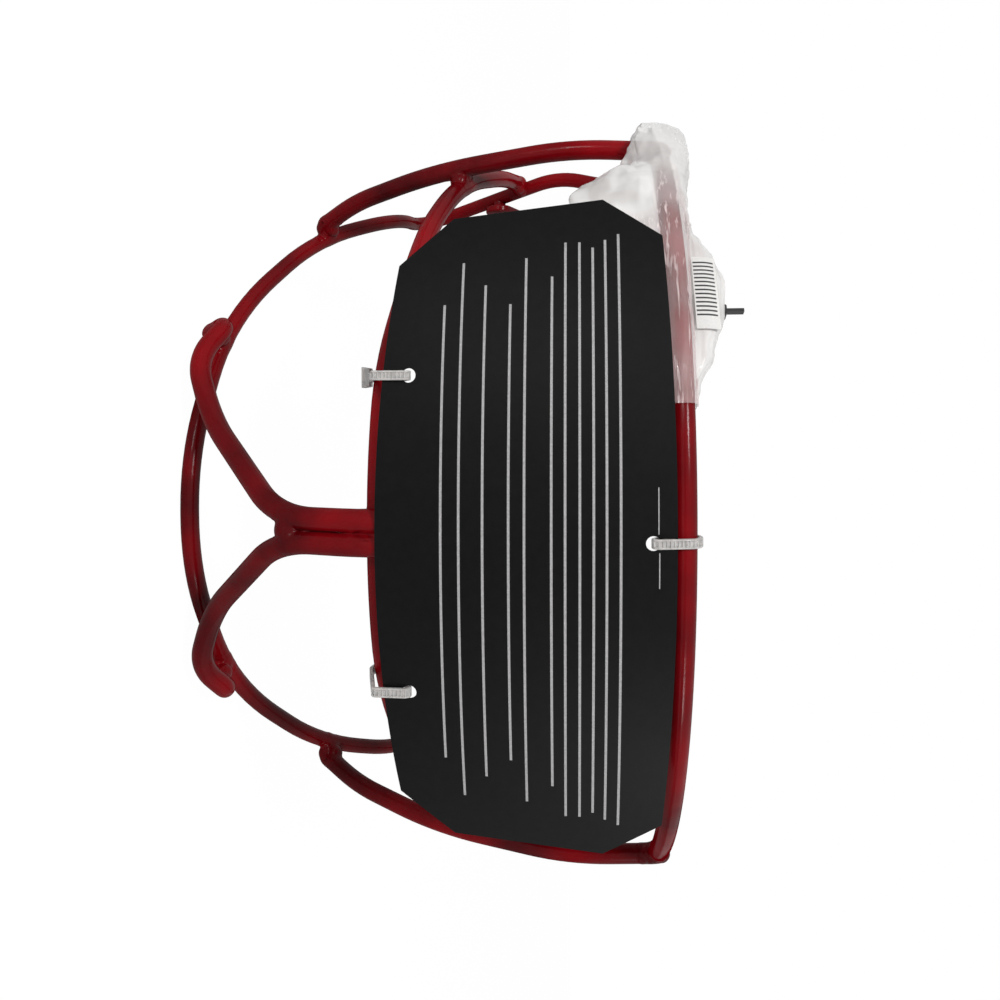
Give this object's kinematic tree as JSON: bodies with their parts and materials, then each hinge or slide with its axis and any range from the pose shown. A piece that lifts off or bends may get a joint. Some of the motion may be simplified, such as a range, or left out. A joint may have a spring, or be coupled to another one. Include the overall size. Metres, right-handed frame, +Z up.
{
  "type": "softball face guard",
  "caption": "Welded cage of bent, coated steel wire that guards a fielder's or batter's face, with a hang card, nylon ties and a film bag.",
  "frame": {"origin": "middle of the brow bar's centreline", "axes": "+X across the guard to the right of someone who faces its front, +Y from the front back to the ears, +Z up"},
  "size_m": [0.2488, 0.1492, 0.1636],
  "materials": {
    "wire": "gloss dip coat",
    "eyelet": "gloss dip coat",
    "weld": "gloss dip coat over a weld",
    "card": "satin printed card",
    "tie": "natural nylon",
    "film": "clear crinkled film",
    "bag_tie": "black nylon",
    "label": "paper"
  },
  "bodies": {
    "root": {"brow_bar": "wire", "jaw_wire": "wire", "right_side_wire": "wire", "left_side_wire": "wire", "nose_bar": "wire", "right_chin_wire": "wire", "left_chin_wire": "wire", "right_temple_eyelet": "eyelet", "left_temple_eyelet": "eyelet", "right_cheek_eyelet": "eyelet", "left_cheek_eyelet": "eyelet", "brow_welds": "weld", "nose_bar_welds": "weld", "cheek_welds": "weld", "side_wire_welds": "weld", "chin_welds": "weld", "centre_welds": "weld", "eyelet_welds": "weld", "hang_card": "card", "top_tie": "tie", "lower_left_tie": "tie", "lower_right_tie": "tie", "film_bag": "film", "bag_tie": "bag_tie", "bag_label": "label"}
  },
  "joints": []
}
